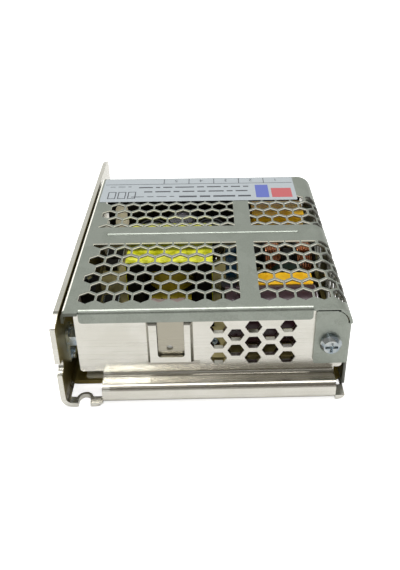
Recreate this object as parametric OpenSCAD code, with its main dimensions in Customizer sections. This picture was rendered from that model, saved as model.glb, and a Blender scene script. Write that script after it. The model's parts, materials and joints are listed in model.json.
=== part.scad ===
// Mesh case switching power supply: a bent aluminium base, a perforated steel cover,
// a populated circuit board and a screw terminal strip.
// +X is right, +Y points to the terminal end, +Z is up. The origin is at the bottom centre.

/* [Case] */
// Width over the side walls
case_w = 82; // [81:0.5:86]
// Length from the blind end to the terminal end
case_l = 99; // [98:0.5:110]
// Height from the mounting face to the top of the cover
case_h = 30; // [29.5:0.5:33]
// Thickness of the base sheet
base_t = 1.5; // [1.4:0.1:1.8]
// Thickness of the cover sheet
cover_t = 0.8; // [0.6:0.1:1]
// Outer radius of the left bend of the base
base_bend = 3.2; // [2.8:0.1:3.6]
// Outer radius of the side bend of the cover
cover_bend = 5.6; // [5.2:0.1:6]

/* [End wall] */
// Setback of the foot behind the front edge
foot_setback = 0.9; // [0.6:0.1:1.4]
// Setback of the end wall behind the front edge
wall_setback = 6; // [5.6:0.1:6.6]
// Height of the ledge on the foot
ledge_h = 6; // [5.5:0.1:6.5]
// Width of the raised pad
pad_w = 13.1; // [12:0.1:15]
// Distance by which the pad stands out
pad_out = 1.2; // [0.8:0.1:1.2]
// Width of an end wall vent across its flats
vent_flats = 4.2; // [3.5:0.1:4.6]
// Distance between neighbouring end wall vents
vent_pitch = 5.66; // [5.4:0.02:5.8]

/* [Perforation] */
// Distance between neighbouring holes of the cover
mesh_pitch = 5.1; // [5:0.05:5.2]
// Width of the web between two holes
mesh_web = 0.52; // [0.4:0.02:0.8]

/* [Mounting] */
// Width of the notches for mounting screws
notch_w = 3.4; // [3.2:0.1:4]
// Height of the notches of the left wall
side_notch_w = 4.4; // [4:0.1:5]
// Radius of the tapped M3 holes
tap_r = 1.25; // [1.2:0.05:1.5]
// Spacing of the bottom holes across the case
foot_hole_x = 54; // [40:1:56]
// Spacing of the bottom holes along the case
foot_hole_y = 60; // [40:1:64]
// Spacing of the side holes along the case
side_hole_y = 60; // [40:1:64]
// Height of the side holes
side_hole_z = 12; // [10:0.5:14]

/* [Terminals] */
// Distance between neighbouring terminals
terminal_pitch = 9.5; // [9.3:0.1:9.6]
// Height of the contact plates
contact_z = 15.5; // [15:0.5:17]
// Top of the barriers between the terminals
barrier_z = 22; // [21:0.5:23]

/* [Board] */
// Height of the underside of the circuit board
board_z = 6; // [5.5:0.1:6.2]
// Thickness of the circuit board
board_t = 1.6; // [1.2:0.1:1.6]

/* [Hidden] */

$fn = 48;
gap = 0.05; // clearance between pieces that lie against each other
cut = 1; // overshoot of cutting solids
arc_steps = 6; // straight pieces in the arc of a rounded corner

left = -case_w / 2;
right = case_w / 2;
front = -case_l / 2;
back = case_l / 2;

// Base
wall_y = front + wall_setback; // outer face of the end wall
wall_inner = wall_y + base_t;
foot_y = front + foot_setback;
wall_x0 = left + 5;
wall_x1 = right - 1.6;
wall_z0 = ledge_h + 1.5;
wall_z1 = case_h - cover_t - 0.4; // clears the small bend of the lip
foot_x0 = left + 11.5;
foot_x1 = right - 3.8;
flange_x = right - cover_t - 2 * gap; // outer face of the right flange
flange_z = 9;
terminal_wall_z = 19;
terminal_wall_y = back - 17;
chamfer_y = 4.5;
chamfer_z = 1.2;

// Mounting notches
notch_r = notch_w / 2;
notch_x = left + 6.4;
notch_y = front + 1.55;
rim_t = 0.75;
side_notch_z = 14.2;
side_notch_y = 0.6; // distance of its round end from the edge
strip_w = 2.3; // width of the strip of floor in front of the relief hole
strip_corner = 1.2;
relief_y = front + 8.4;

// Pad with its tongue
pad_x = left + 24.6;
pad_z0 = 10.7;
pad_z1 = case_h - 4.15;
pad_slope = 0.8;
window_x = pad_x + 3;
window_w = 7.6;
window_z = 13.4;
tongue_y = wall_y - 0.1;
tongue_z = 12.6;
tongue_t = 1.3;
dimple_r = 0.95;
dimple_x = window_x + 3.4;
dimple_z = 15.9;

// Vents of the end wall
vent_x = left + 44.8;
vent_z = 11.6;
vent_columns = 5;

// Cover
cover_front = wall_y - gap - cover_t; // outer face of the lip
cover_back = back - 18.1;
cover_left = left + base_t + 0.4;
edge_bend = 1.2; // outer radius of the small bends
bend_x = right - cover_bend;
bend_z = case_h - cover_bend;
lip_x0 = left + 6.5;
lip_x1 = right - 11.1;
lip_z = case_h - 4.05;
corner_out = 0.75; // how far the sheet stands out to the left of the lip
edge_out = 0.2; // and to the right of it
tab_x = right - 10.2;
tab_z = 9.75;
side_z = 0.4;
side_end = back - 0.3;
side_step_z = 20;
left_flange_z = case_h - 3.2;
screw_x = right - 5.7;
screw_z = 17.5;
side_screw_y = wall_y + 4.1;
side_screw_z = 17.6;
plate_t = 0.9; // thickness of the nut plate
screw_r = 1.5;
rib_x0 = left + 9.5;
rib_x1 = right - 10.6;
rib_y = front + 43;
rib_r = 0.8;
rib_rise = 0.35;

// Perforation: rows and columns count from the first hole at the front left
mesh_x = left + 8;
mesh_y = front + 11.2;
row_pitch = mesh_pitch * sqrt(3) / 2;
hole_r = (mesh_pitch - mesh_web) / sqrt(3);
neutral_r = cover_bend - cover_t / 2;
bend_length = neutral_r * PI / 2;
left_field_end = mesh_x + 8.45 * mesh_pitch;
right_field_start = mesh_x + 9.52 * mesh_pitch;
front_field_end = mesh_y + 5.2 * mesh_pitch;
back_field_start = mesh_y + 7.03 * mesh_pitch;
front_rows = [0:6];
back_rows = [8:12];
flat_columns = 13;
bend_columns = 15;
side_columns = 17;

// Circuit board
board_top = board_z + board_t;
board_x0 = left + 4.4;
board_x1 = right - 4;
board_y0 = wall_y + 4.3;
board_y1 = back - 3;
sheet_t = 0.3;
pillar_r = 2.6;
pillars = [[board_x0 + 4, board_y0 + 12], [1.7, board_y0 + 5],
    [board_x0 + 4, 29], [board_x1 - 3.5, 8]];

// Power devices, screwed to the end wall and to the left wall
device_z = board_top + 2.8;
device_hole = 12.8; // height of the screw above the underside of the device
device_x = pad_x + pad_w / 2;
rectifier_y = -18;
pad_z = [board_top + 2, board_top + 18.4]; // lower and upper edge of the insulating pads
blind = 0.8; // depth of the tapped holes behind the devices

// Transformer
core_x0 = left + 16.4;
core_x1 = core_x0 + 26.8;
core_y0 = -18.4;
core_y1 = 4;
core_z0 = board_top + 1;
core_z1 = case_h - 3.3;
core_bar = 3.2;
core_leg = 5;
tape_t = 0.25;
flange_t = 1;

// Bulk capacitor, lying along X behind the end wall
bulk_x0 = 6.2;
bulk_x1 = 33.4;
bulk_r = 8.5;
bulk_y = -30.7;

// Common mode choke, wound along X
choke_x0 = 19.4;
choke_x1 = 35;
choke_y = -1.4;
choke_z = 15.6;
choke_r = 6.6;

// Terminal strip
terminals = 5;
strip_x0 = left + 26.6;
strip_x1 = strip_x0 + terminals * terminal_pitch + 1.6;
strip_y0 = back - 17;
strip_y1 = back - 1.8;
terminal_y = strip_y0 + 6.6;
barrier_t = 1.6;
contact_t = 0.8;
clamp_w = 6.4;
clamp_t = 0.8;
clamp_z = contact_z + contact_t + gap;
head_z = clamp_z + clamp_t + gap;
head_r = 2.9;
head_h = 2;

// Trimmer
trimmer_x = left + 19.5;
trimmer_y = back - 8;
trimmer_top = board_top + 4.6;

function terminal_x(i) = strip_x0 + barrier_t / 2 + (i + 0.5) * terminal_pitch;

function turned(p, a) = [p.x * cos(a) - p.y * sin(a), p.x * sin(a) + p.y * cos(a)];

// Points of the corner b between a and c, rounded to the radius r
function corner(a, b, c, r) =
    let (u = (a - b) / norm(a - b), v = (c - b) / norm(c - b))
    let (half = acos(u * v) / 2, side = sign(u.x * v.y - u.y * v.x))
    let (centre = b + (u + v) / norm(u + v) * r / sin(half))
    let (first = b + u * r / tan(half) - centre, turn = side * (180 - 2 * half))
    r == 0 ? [b] : [for (i = [0:arc_steps]) centre + turned(first, -turn * i / arc_steps)];

// An outline from corners [x, y, radius]
function rounded(p) =
    [for (i = [0:len(p) - 1])
        let (n = len(p), a = p[(i + n - 1) % n], b = p[i], c = p[(i + 1) % n])
        each corner([a.x, a.y], [b.x, b.y], [c.x, c.y], b[2])];

function box_corners(x0, y0, x1, y1, r = 0) =
    [[x0, y0, r], [x1, y0, r], [x1, y1, r], [x0, y1, r]];

// A plate drawn in X and Z that lies between two depths in Y
module plate_xz(p, y0, y1) {
    translate([0, y1, 0])
        rotate([90, 0, 0])
            linear_extrude(y1 - y0) polygon(rounded(p));
}

// A profile drawn in Y and Z that runs from x0 to x1
module run_x(p, x0, x1) {
    translate([x0, 0, 0])
        rotate([90, 0, 90])
            linear_extrude(x1 - x0) polygon(rounded(p));
}

// A plate drawn in X and Y that lies between two heights
module plate_xy(p, z0, z1) {
    translate([0, 0, z0]) linear_extrude(z1 - z0) polygon(rounded(p));
}

module block(lo, hi) {
    translate(lo) cube(hi - lo);
}

// Cylinders that start at a point and run along an axis
module rod_x(from, length, r) {
    translate(from) rotate([0, 90, 0]) cylinder(h = length, r = r);
}

module rod_y(from, length, r) {
    translate(from) rotate([-90, 0, 0]) cylinder(h = length, r = r);
}

module rod_z(from, length, r) {
    translate(from) cylinder(h = length, r = r);
}

// A quarter of a tube along Z whose corner lies in the +X -Y quadrant
module quarter_bend(r, t) {
    intersection() {
        difference() {
            circle(r);
            circle(r - t);
        }
        translate([0, -r - cut]) square(r + cut);
    }
}

// ---- Base ----

module base_shell() {
    intersection() {
        // floor, left wall and right flange, bent from one sheet
        translate([0, back, 0])
            rotate([90, 0, 0])
                linear_extrude(case_l)
                    polygon(rounded([
                        [left, case_h, 0], [left, 0, base_bend],
                        [flange_x, 0, base_bend - 1], [flange_x, terminal_wall_z, 0],
                        [flange_x - base_t, terminal_wall_z, 0],
                        [flange_x - base_t, base_t, 0.6],
                        [left + base_t, base_t, base_bend - base_t],
                        [left + base_t, case_h, 0]]));
        // side view with the sloped top corners
        run_x([[front, 0, 0], [back, 0, 0], [back, case_h - chamfer_z, 0.6],
            [back - chamfer_y, case_h, 0.6], [front + chamfer_y, case_h, 0.6],
            [front, case_h - chamfer_z, 0.6]], left - cut, right + cut);
    }
}

module base_trims() {
    // the right flange starts behind the end wall and is low up to the terminals
    block([flange_x - base_t - cut, front - cut, base_t], [right, wall_y + 5, case_h]);
    block([flange_x - base_t - cut, front - cut, flange_z], [right, terminal_wall_y, case_h]);
    // relief holes on both sides of the foot, and the room of the foot itself
    block([left + base_t + 0.1, front + strip_w, -cut], [foot_x0, relief_y, base_t + 0.2]);
    block([foot_x0 - 0.01, front - cut, -cut], [foot_x1, relief_y, base_t + 0.2]);
    block([foot_x1 - 0.01, front - cut, -cut], [right, foot_y, case_h]);
    block([foot_x1 - 0.01, front + 4.9, -cut], [wall_x1, front + 7.7, base_t + 0.2]);
    // corner of the strip beside the foot
    translate([foot_x0, front, -cut])
        rotate(45) cube([strip_corner * sqrt(2), strip_corner * sqrt(2), 4 * cut], center = true);
}

// Sheet around the round end of the notch, standing into the relief hole
module notch_rim() {
    intersection() {
        rod_z([notch_x, notch_y, 0], base_t, notch_r + rim_t);
        block([notch_x - 4, front, 0], [notch_x + 4, relief_y, base_t]);
    }
}

module foot() {
    run_x([[relief_y + 2, 0, 0], [foot_y, 0, 1.8], [foot_y, ledge_h, 1.7], [wall_y, ledge_h, 0.9],
        [wall_y, wall_z1, 0], [wall_inner, wall_z1, 0],
        [wall_inner, ledge_h - base_t, 2.2], [foot_y + base_t, ledge_h - base_t, 0.3],
        [foot_y + base_t, base_t, 0.3], [relief_y + 2, base_t, 0]], foot_x0, foot_x1);
}

module end_wall() {
    plate_xz([[wall_x0, wall_z0, 1], [wall_x1, wall_z0, 1],
        [wall_x1, wall_z1, cover_bend - cover_t - 0.4], [wall_x0, wall_z1, 0.5]], wall_y, wall_inner);
}

// A raised rectangle with sloped sides, standing out of the plane y = 0 towards -Y
module raised_pad(depth) {
    run = cut * pad_slope / pad_out;
    intersection() {
        translate([0, 0, pad_z0 - cut])
            linear_extrude(pad_z1 - pad_z0 + 2 * cut)
                polygon([[pad_x - run, cut], [pad_x + pad_slope, -depth],
                    [pad_x + pad_w - pad_slope, -depth], [pad_x + pad_w + run, cut]]);
        translate([pad_x - 2 * cut, 0, 0])
            rotate([90, 0, 90])
                linear_extrude(pad_w + 4 * cut)
                    polygon([[cut, pad_z0 - run], [-depth, pad_z0 + pad_slope],
                        [-depth, pad_z1 - pad_slope], [cut, pad_z1 + run]]);
    }
}

module tongue() {
    block([window_x + 0.1, tongue_y, tongue_z],
        [window_x + window_w - 0.1, tongue_y + tongue_t, pad_z1 + gap]);
}

module vents() {
    for (column = [0:vent_columns - 1])
        for (row = [0:2 - column % 2])
            translate([vent_x + column * vent_pitch * sqrt(3) / 2, wall_y - cut,
                vent_z + (row + column % 2 / 2) * vent_pitch])
                rotate([-90, 0, 0])
                    cylinder(h = base_t + 2 * cut, r = vent_flats / sqrt(3), $fn = 6);
}

// Notch open towards y = -infinity, with its round end at the origin
module notch(r) {
    rod_z([0, 0, -cut], base_t + 2 * cut, r);
    block([-r, -10, -cut], [r, 0, base_t + cut]);
}

module mounting_holes() {
    translate([notch_x, notch_y, 0]) notch(notch_r);
    translate([notch_x, -notch_y, 0]) mirror([0, 1, 0]) notch(notch_r);
    for (s = [-1, 1])
        translate([left, s * (back - side_notch_y), side_notch_z])
            rotate([0, 90, 0])
                mirror([0, s > 0 ? 1 : 0, 0]) notch(side_notch_w / 2);
    for (x = [-1, 1], y = [-1, 1])
        rod_z([x * foot_hole_x / 2, y * foot_hole_y / 2, -cut], base_t + 2 * cut, tap_r);
    for (y = [-1, 1])
        rod_x([left - cut, y * side_hole_y / 2, side_hole_z], base_t + 2 * cut, tap_r);
}

module base() {
    color("gainsboro")
        difference() {
            union() {
                difference() {
                    base_shell();
                    base_trims();
                }
                notch_rim();
                difference() {
                    union() {
                        foot();
                        end_wall();
                        translate([0, wall_y, 0]) raised_pad(pad_out);
                    }
                    translate([0, wall_inner, 0]) raised_pad(pad_out);
                    plate_xz([[window_x, window_z, 1], [window_x + window_w, window_z, 1],
                        [window_x + window_w, pad_z1, 0], [window_x, pad_z1, 0]],
                        wall_y - pad_out - cut, wall_inner);
                    vents();
                }
                tongue();
            }
            mounting_holes();
            device_holes();
            rod_y([dimple_x, tongue_y - cut, dimple_z], cut + 0.8, dimple_r);
            rod_y([screw_x, wall_y - cut, screw_z], base_t + 2 * cut, screw_r + gap);
            rod_x([left - cut, side_screw_y, side_screw_z], base_t + 2 * cut, screw_r + gap);
            translate([left, side_screw_y, side_screw_z])
                rotate([0, 90, 0])
                    cylinder(h = base_t, r1 = 3.1, r2 = screw_r);
        }
}

// ---- Cover ----

module cover_section() {
    translate([cover_left + edge_bend, case_h - cover_t])
        square([bend_x - cover_left - edge_bend, cover_t]);
    translate([cover_left + edge_bend, case_h - edge_bend])
        rotate(180) quarter_bend(edge_bend, cover_t);
    translate([cover_left, left_flange_z])
        square([cover_t, case_h - edge_bend - left_flange_z]);
    translate([bend_x, bend_z])
        rotate(90) quarter_bend(cover_bend, cover_t, $fn = 96);
    translate([right - cover_t, side_z]) square([cover_t, bend_z - side_z]);
}

module cover_shell() {
    difference() {
        translate([0, cover_back, 0])
            rotate([90, 0, 0])
                linear_extrude(cover_back - cover_front + corner_out) cover_section();
        // room of the bends at the lip and at the tab
        block([lip_x0, cover_front - 2 * cut, case_h - 2], [lip_x1, cover_front + edge_bend, case_h + cut]);
        block([lip_x1 - gap, cover_front - 2 * cut, bend_z - cut],
            [right + cut, cover_front - edge_out, case_h + cut]);
        block([bend_x, cover_front - 2 * cut, -cut], [right + cut, cover_front + edge_bend, bend_z]);
    }
}

module cover_lip() {
    run_length = lip_x1 - lip_x0;
    translate([lip_x0, cover_front + edge_bend, case_h - edge_bend])
        rotate([90, 0, 90])
            linear_extrude(run_length) rotate(180) quarter_bend(edge_bend, cover_t);
    plate_xz([[lip_x0, lip_z, 1], [lip_x1, lip_z, 1], [lip_x1, case_h - edge_bend, 0],
        [lip_x0, case_h - edge_bend, 0]], cover_front, cover_front + cover_t);
}

module cover_tab() {
    plate_xz([[tab_x, tab_z, 0.8], [right - edge_bend, tab_z, 0],
        [right - edge_bend, case_h - 1.1, cover_bend - 1.2], [tab_x, case_h - 1.1, 0.5]],
        cover_front, cover_front + cover_t);
    translate([right - edge_bend, cover_front + edge_bend, tab_z])
        linear_extrude(bend_z - tab_z) quarter_bend(edge_bend, cover_t);
}

module cover_side_end() {
    run_x([[cover_back - 1, side_z, 0], [side_end, side_z, 0.5], [side_end, side_step_z, 3],
        [cover_back + 5, side_step_z, 3], [cover_back, bend_z, 0.5], [cover_back - 1, bend_z, 0]],
        right - cover_t, right);
}

// One hole, u along the developed sheet and y along the case
module mesh_hole(u, y) {
    depth = cover_t + 2 * cut;
    bent = u - bend_x;
    angle = bent / neutral_r * 180 / PI;
    if (bent < 0.5) {
        translate([u, y, case_h - cover_t - cut])
            rotate(30) cylinder(h = depth, r = hole_r, $fn = 6);
    } else if (bent < bend_length + 0.5) {
        translate([bend_x, y, bend_z])
            rotate([0, angle, 0])
                translate([0, 0, cover_bend - cover_t - cut])
                    rotate(30) cylinder(h = depth, r = hole_r, $fn = 6);
    } else {
        translate([right - cover_t - cut, y, bend_z - bent + bend_length])
            rotate([0, 90, 0])
                rotate(30) cylinder(h = depth, r = hole_r, $fn = 6);
    }
}

module mesh_field(rows, first, last, lo, hi) {
    intersection() {
        for (row = rows)
            for (column = [first:last])
                mesh_hole(mesh_x + (column + row % 2 / 2) * mesh_pitch, mesh_y + row * row_pitch);
        block([lo.x, lo.y, -cut], [hi.x, hi.y, case_h + 2 * cut]);
    }
}

module perforation() {
    edge = 4 * cut;
    for (field = [[front_rows, front, front_field_end], [back_rows, back_field_start, cover_back]]) {
        mesh_field(field[0], 0, 8, [left - edge, field[1]], [left_field_end, field[2]]);
        mesh_field(field[0], 9, side_columns, [right_field_start, field[1]], [right + edge, field[2]]);
    }
}

module rib() {
    z = case_h + rib_rise - rib_r;
    rod_x([rib_x0, rib_y, z], rib_x1 - rib_x0, rib_r);
    for (x = [rib_x0, rib_x1])
        translate([x, rib_y, z]) sphere(rib_r);
}

module cover() {
    color("lightsteelblue")
        difference() {
            union() {
                cover_shell();
                cover_lip();
                cover_tab();
                cover_side_end();
                difference() {
                    rib();
                    block([left, rib_y - 2, 0], [right, rib_y + 2, case_h - cover_t / 2]);
                }
            }
            perforation();
            rod_y([screw_x, cover_front - cut, screw_z], cover_t + 2 * cut, screw_r + 0.1);
        }
}

module label() {
    color("lightcyan")
        plate_xy(box_corners(left + 3.4, back - 35.5, right - 7.5, back - 18.5, 0.6), case_h, case_h + 0.1);
}

// Cross-shaped driver recess, cut down from z = 0
module cross_recess(size, depth) {
    for (a = [0, 90])
        rotate(a) block([-size / 2, -0.45, -depth], [size / 2, 0.45, cut]);
}

// Pan head screw with the head above z = 0 and the shank below
module pan_screw(r, head, height, length) {
    difference() {
        union() {
            rod_z([0, 0, 0], height * 0.45, head);
            translate([0, 0, height * 0.45])
                cylinder(h = height * 0.55, r1 = head, r2 = head * 0.72);
            rod_z([0, 0, -length], length, r);
        }
        translate([0, 0, height]) cross_recess(head * 1.15, height * 0.6);
    }
}

module case_screws() {
    color("silver") {
        translate([screw_x, cover_front - gap, screw_z])
            rotate([90, 0, 0]) pan_screw(screw_r, 3.1, 2, 6);
        // countersunk screw through the left wall
        translate([left, side_screw_y, side_screw_z])
            rotate([0, 90, 0])
                difference() {
                    union() {
                        translate([0, 0, 0.05]) cylinder(h = 1.45, r1 = 2.95, r2 = screw_r - 0.05);
                        rod_z([0, 0, 0.5], 5.2, screw_r);
                    }
                    mirror([0, 0, 1]) translate([0, 0, -0.05]) cross_recess(3.2, 0.8);
                }
    }
}

// Nut plate behind the left wall, with a riveted end below the nut
module side_nut() {
    x = left + base_t + gap;
    rivet_z = side_screw_z - 6.6;
    color("silver")
        difference() {
            union() {
                run_x([[side_screw_y - 2.6, rivet_z - 2.4, 2.2], [side_screw_y + 2.6, rivet_z - 2.4, 2.2],
                    [side_screw_y + 2.6, side_screw_z + 3, 0.8], [side_screw_y - 2.6, side_screw_z + 3, 0.8]],
                    x, x + plate_t);
                rod_x([x, side_screw_y, rivet_z], plate_t + 0.9, 1.7);
                translate([x, side_screw_y, side_screw_z])
                    rotate([0, 90, 0]) cylinder(h = plate_t + 2.4, r = 3.1, $fn = 6);
            }
            rod_x([x - cut, side_screw_y, side_screw_z], 6, screw_r + gap);
        }
}

// ---- Board ----

module pillar_holes(r, z0, z1) {
    for (p = pillars)
        rod_z([p.x, p.y, z0], z1 - z0, r);
}

module insulation_sheet() {
    color("beige")
        difference() {
            plate_xy(box_corners(board_x0 + 1, relief_y + 0.6, board_x1 - 1, board_y1, 1),
                base_t, base_t + sheet_t);
            pillar_holes(pillar_r + 0.3, 0, board_z);
        }
}

module board_pillars() {
    color("lightgray")
        difference() {
            pillar_holes(pillar_r, base_t, board_z);
            pillar_holes(tap_r + gap, 0, case_h);
        }
}

module circuit_board() {
    color("darkkhaki")
        difference() {
            plate_xy([[board_x0, board_y0, 1], [board_x1, board_y0, 1], [board_x1, board_y1, 1],
                [board_x0, board_y1, 1]], board_z, board_top);
            pillar_holes(1.6, board_z - cut, board_top + cut);
        }
}

module board_screws() {
    color("silver")
        for (p = pillars)
            translate([p.x, p.y, board_top]) pan_screw(tap_r, 2.7, 1.8, 4.6);
}

// ---- Transformer ----

module transformer_core() {
    color("dimgray")
        plate_ring([core_x0, core_y0 + tape_t, core_z0], [core_x1, core_y1 - tape_t, core_z1], core_leg, core_bar);
    color("dimgray")
        rod_z([(core_x0 + core_x1) / 2, (core_y0 + core_y1) / 2, core_z0 + core_bar],
            core_z1 - core_z0 - 2 * core_bar, 4);
}

// A rectangular frame, open along Y
module plate_ring(lo, hi, side, bar) {
    difference() {
        block(lo, hi);
        block([lo.x + side, lo.y - cut, lo.z + bar], [hi.x - side, hi.y + cut, hi.z - bar]);
    }
}

module transformer_bobbin() {
    x = (core_x0 + core_x1) / 2;
    y = (core_y0 + core_y1) / 2;
    r = (core_x1 - core_x0) / 2 - core_leg - 0.2;
    z0 = core_z0 + core_bar + gap;
    z1 = core_z1 - core_bar - gap;
    color("black")
        difference() {
            union() {
                rod_z([x, y, z0], z1 - z0, 5);
                rod_z([x, y, z0], flange_t, r);
                rod_z([x, y, z1 - flange_t], flange_t, r);
            }
            rod_z([x, y, 0], case_h, 4 + gap);
        }
}

module transformer_winding() {
    r = (core_x1 - core_x0) / 2 - core_leg - 0.5;
    color("goldenrod")
        translate([(core_x0 + core_x1) / 2, (core_y0 + core_y1) / 2, core_z0 + core_bar + flange_t + 2 * gap])
            difference() {
                cylinder(h = core_z1 - core_z0 - 2 * core_bar - 2 * flange_t - 4 * gap, r = r);
                rod_z([0, 0, -cut], case_h, 5 + gap);
            }
}

module transformer_tape() {
    color("yellow")
        difference() {
            plate_xz(box_corners(core_x0 - tape_t - gap, core_z0 - tape_t - gap, core_x1 + tape_t + gap,
                core_z1 + tape_t + gap, 0.3), core_y0, core_y1);
            block([core_x0 - gap, core_y0 - cut, core_z0 - gap], [core_x1 + gap, core_y1 + cut, core_z1 + gap]);
        }
}

// ---- Mains side ----

module bulk_capacitor() {
    z = board_top + bulk_r + 0.3;
    color("indigo")
        difference() {
            union() {
                rod_x([bulk_x0, bulk_y, z], 2.2, bulk_r);
                rod_x([bulk_x0 + 2.2, bulk_y, z], 1, bulk_r - 0.5);
                rod_x([bulk_x0 + 3.2, bulk_y, z], bulk_x1 - bulk_x0 - 3.2, bulk_r);
            }
            rod_x([bulk_x1 - 0.4, bulk_y, z], 1, bulk_r - 1);
        }
}

module film_capacitor(x0, x1, y0, y1, top) {
    translate([0, 0, board_top + gap])
        linear_extrude(top - board_top)
            polygon(rounded(box_corners(x0, y0, x1, y1, 0.6)));
}

module film_capacitor_front() {
    color("orange") film_capacitor(16.4, 34, -21.9, -16, case_h - 9.5);
}

module film_capacitor_rear() {
    color("orange") film_capacitor(17.4, 36.2, 14.4, 24.4, case_h - 6.6);
}

module choke_core() {
    color("dimgray")
        difference() {
            block([choke_x0 - 2.6, choke_y - 2, choke_z - 2.2], [choke_x1 + 1.6, choke_y + 12, choke_z + 2.2]);
            block([choke_x0 - gap, choke_y + 2, choke_z - 3], [choke_x1 - 2, choke_y + 8.4, choke_z + 3]);
        }
}

module choke_bobbin() {
    length = choke_x1 - choke_x0 - 2.2;
    color("black")
        difference() {
            union() {
                rod_x([choke_x0, choke_y, choke_z], length, 3.6);
                for (k = [0:2])
                    rod_x([choke_x0 + k * (length - flange_t) / 2, choke_y, choke_z], flange_t, choke_r);
            }
            block([choke_x0 - cut, choke_y - 2 - gap, choke_z - 2.2 - gap],
                [choke_x1 + cut, choke_y + 2 + gap, choke_z + 2.2 + gap]);
        }
}

module choke_windings() {
    half = (choke_x1 - choke_x0 - 2.2 - flange_t) / 2;
    color("chocolate")
        for (k = [0:1])
            difference() {
                rod_x([choke_x0 + flange_t + k * half + gap, choke_y, choke_z],
                    half - flange_t - 2 * gap, choke_r - 0.7);
                rod_x([choke_x0, choke_y, choke_z], 40, 3.6 + gap);
            }
}

module thermistor() {
    color("darkslategray") rod_y([27.2, -15.6, board_top + 7.4], 4, 6.6);
}

module fuse() {
    color("black") film_capacitor(27, 35.4, 26.6, 30.6, board_top + 8);
}

module bridge_rectifier() {
    color("black")
        run_x([[-9, board_top + 2, 0], [12, board_top + 2, 0], [12, board_top + 17, 0.6],
            [-6.5, board_top + 17, 2], [-9, board_top + 14.5, 0.6]], 12, 15.2);
}

module safety_capacitor() {
    color("blue") rod_x([6.9, -5.5, board_top + 9.2], 3.6, 6.2);
}

// ---- Output side ----

module upright_capacitor(x, y, r, top) {
    difference() {
        union() {
            rod_z([x, y, board_top + gap], 1.6, r);
            rod_z([x, y, board_top + 1], 1.6, r - 0.4);
            rod_z([x, y, board_top + 2.2], top - board_top - 2.2, r);
        }
        rod_z([x, y, top - 0.3], 1, r - 0.8);
    }
}

module supply_capacitor() {
    color("dimgray") upright_capacitor(7.6, -18.6, 2.6, board_top + 11);
}

module output_capacitors() {
    color("black")
        for (k = [-1:1])
            upright_capacitor(10.6 * k - 8.5, 14, 5, board_top + (k == 0 ? 15 : 12));
}

module output_inductor() {
    color("peru")
        difference() {
            union() {
                rod_z([-8, 26, board_top + 0.6], 9, 4.4);
                rod_z([-8, 26, board_top + gap], 1, 5);
                rod_z([-8, 26, board_top + 9.2], 1, 5);
            }
            rod_z([-8, 26, board_top + 9.8], 1, 1);
        }
}

// A moulded power device standing upright: metal tab at y = 0, body in front of it
module power_device() {
    difference() {
        union() {
            block([-5, 0, 0], [5, 1.3, 15.6]);
            block([-5, 1.2, 0], [5, 4.4, 9.2]);
            for (x = [-2.54, 0, 2.54])
                block([x - 0.4, 2.2, board_top + gap - device_z], [x + 0.4, 2.8, 0.1]);
        }
        rod_y([0, -cut, device_hole], 4, 1.8);
    }
}

module power_transistor() {
    color("black")
        translate([device_x, wall_inner + 0.75, device_z]) power_device();
}

module output_rectifier() {
    color("black")
        translate([left + base_t + 0.9, rectifier_y, device_z]) rotate(-90) power_device();
}

module device_screws() {
    color("silver") {
        translate([left + base_t + 0.9 + 1.3 + gap, rectifier_y, device_z + device_hole])
            rotate([0, 90, 0]) pan_screw(screw_r, 2.7, 1.8, 2.8);
        translate([device_x, wall_inner + 0.75 + 1.3 + gap, device_z + device_hole])
            rotate([-90, 0, 0]) pan_screw(screw_r, 2.7, 1.8, 2.8);
    }
}

module insulating_pads() {
    color("thistle")
        difference() {
            union() {
                plate_xz(box_corners(device_x - 6, pad_z[0], device_x + 6, pad_z[1], 1),
                    wall_inner + 0.3, wall_inner + 0.6);
                block([left + base_t + 0.3, rectifier_y - 7, pad_z[0]],
                    [left + base_t + 0.7, rectifier_y + 7, pad_z[1]]);
            }
            device_holes();
        }
}

// Holes for the screws of the power devices
module device_holes() {
    rod_y([device_x, wall_inner - blind, device_z + device_hole], 2, screw_r + gap);
    rod_x([left + base_t - blind, rectifier_y, device_z + device_hole], 2, screw_r + gap);
}

module snubber_resistor() {
    color("rosybrown") rod_x([-19.4, -25.6, board_top + 7], 15, 2.6);
}

module optocoupler() {
    color("black") block([-1.8, -26, board_top + gap], [2.8, -19.6, board_top + 3.6]);
}

module adhesive_bead() {
    color("ivory") {
        rod_z([-31.3, 23, board_top + gap], 13.5, 1.9);
        translate([-31.3, 23, board_top + 13.5]) sphere(2.3);
        translate([-31.3, 22.2, board_top + 9]) sphere(2.5);
    }
}

// ---- Terminals ----

module terminal_block() {
    color("#2c2c2e")
        difference() {
            union() {
                block([strip_x0, strip_y0, board_top + gap], [strip_x1, strip_y1, contact_z - gap]);
                // wall across the case that keeps the adjustment apart from the parts inside
                block([left + 2.8, strip_y0, board_top + gap], [right - 3.6, strip_y0 + 1.6, barrier_z + 1.5]);
                for (i = [0:terminals])
                    run_x([[strip_y0, contact_z - 1, 0], [strip_y1, contact_z - 1, 0],
                        [strip_y1, barrier_z - 3, 1], [strip_y1 - 3, barrier_z, 1],
                        [strip_y0, barrier_z, 0]],
                        strip_x0 + i * terminal_pitch, strip_x0 + i * terminal_pitch + barrier_t);
            }
            for (i = [0:terminals - 1]) {
                rod_z([terminal_x(i), terminal_y, contact_z - 6.5], 8, screw_r + 0.4);
                block([terminal_x(i) - 1.3, strip_y0 + 1.9, 0],
                    [terminal_x(i) + 1.3, strip_y0 + 3, case_h]);
            }
        }
}

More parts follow.
